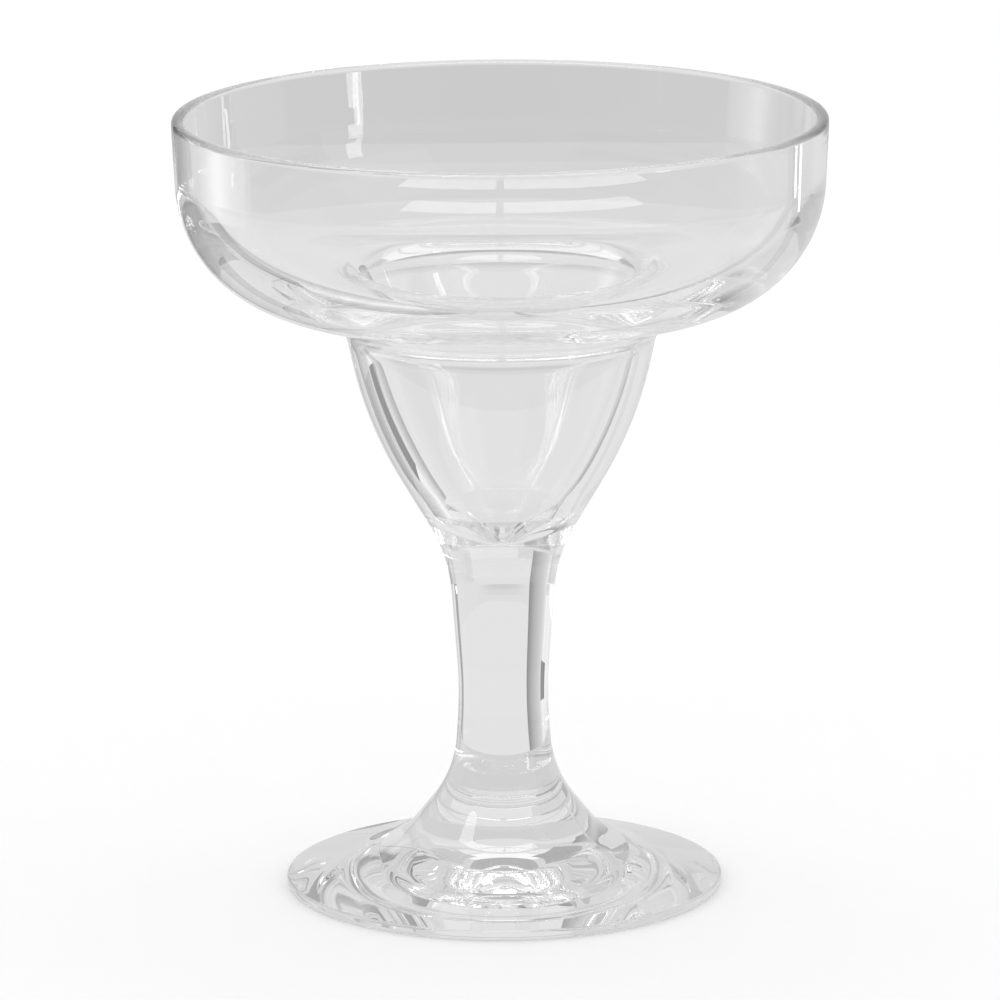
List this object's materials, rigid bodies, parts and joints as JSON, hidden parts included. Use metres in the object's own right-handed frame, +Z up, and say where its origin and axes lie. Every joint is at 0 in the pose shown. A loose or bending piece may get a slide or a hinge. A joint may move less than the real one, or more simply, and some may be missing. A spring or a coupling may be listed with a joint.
{
  "type": "margarita glass",
  "caption": "Clear margarita glass: a wide bowl with upright walls over a narrow tapering cup, on a thick waisted stem and a round flared foot.",
  "frame": {"origin": "centre of the ring that the glass stands on, in the plane of the table", "axes": "+Z up along the axis of the glass, from the foot to the rim; the glass is round about Z, so X and Y are free"},
  "size_m": [0.1156, 0.1154, 0.1396],
  "materials": {
    "clear_glass": "clear soda-lime glass, pressed and fire-polished, smooth inside and outside"
  },
  "bodies": {
    "root": {"bowl": "clear_glass", "stem": "clear_glass", "foot": "clear_glass"}
  },
  "joints": []
}
